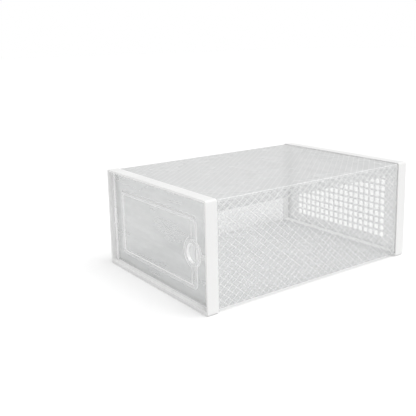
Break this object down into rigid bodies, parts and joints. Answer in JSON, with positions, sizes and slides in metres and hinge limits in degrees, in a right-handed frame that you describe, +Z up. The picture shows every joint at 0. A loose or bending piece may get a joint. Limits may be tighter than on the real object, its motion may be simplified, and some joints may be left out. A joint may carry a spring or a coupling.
{
  "type": "shoe box",
  "caption": "Stackable front-opening shoe box: a translucent folded sleeve held by white frames, a swing door with a finger hole and a back panel with air vents.",
  "frame": {"origin": "middle of the footprint, on the surface that the box stands on", "axes": "+X to the right seen from the front, +Y from the door to the back, +Z up"},
  "size_m": [0.226, 0.33, 0.13],
  "materials": {
    "white_frame": "satin white moulding",
    "sleeve_sheet": "translucent sheet with an embossed diamond grid",
    "vent_panel": "frosted translucent moulding",
    "clear_door": "translucent moulding with a light gloss"
  },
  "bodies": {
    "shell": {"front_frame": "white_frame", "rear_frame": "white_frame", "folded_sleeve": "sleeve_sheet", "rear_vent_panel": "vent_panel"},
    "door": {"door": "clear_door"}
  },
  "joints": [
    {"name": "door_hinge", "type": "hinge", "parent": "shell", "child": "door", "pos_m": [-0.1072, -0.1583, 0.066], "axis": [0, 0, -1], "range_deg": [0, 110]}
  ]
}
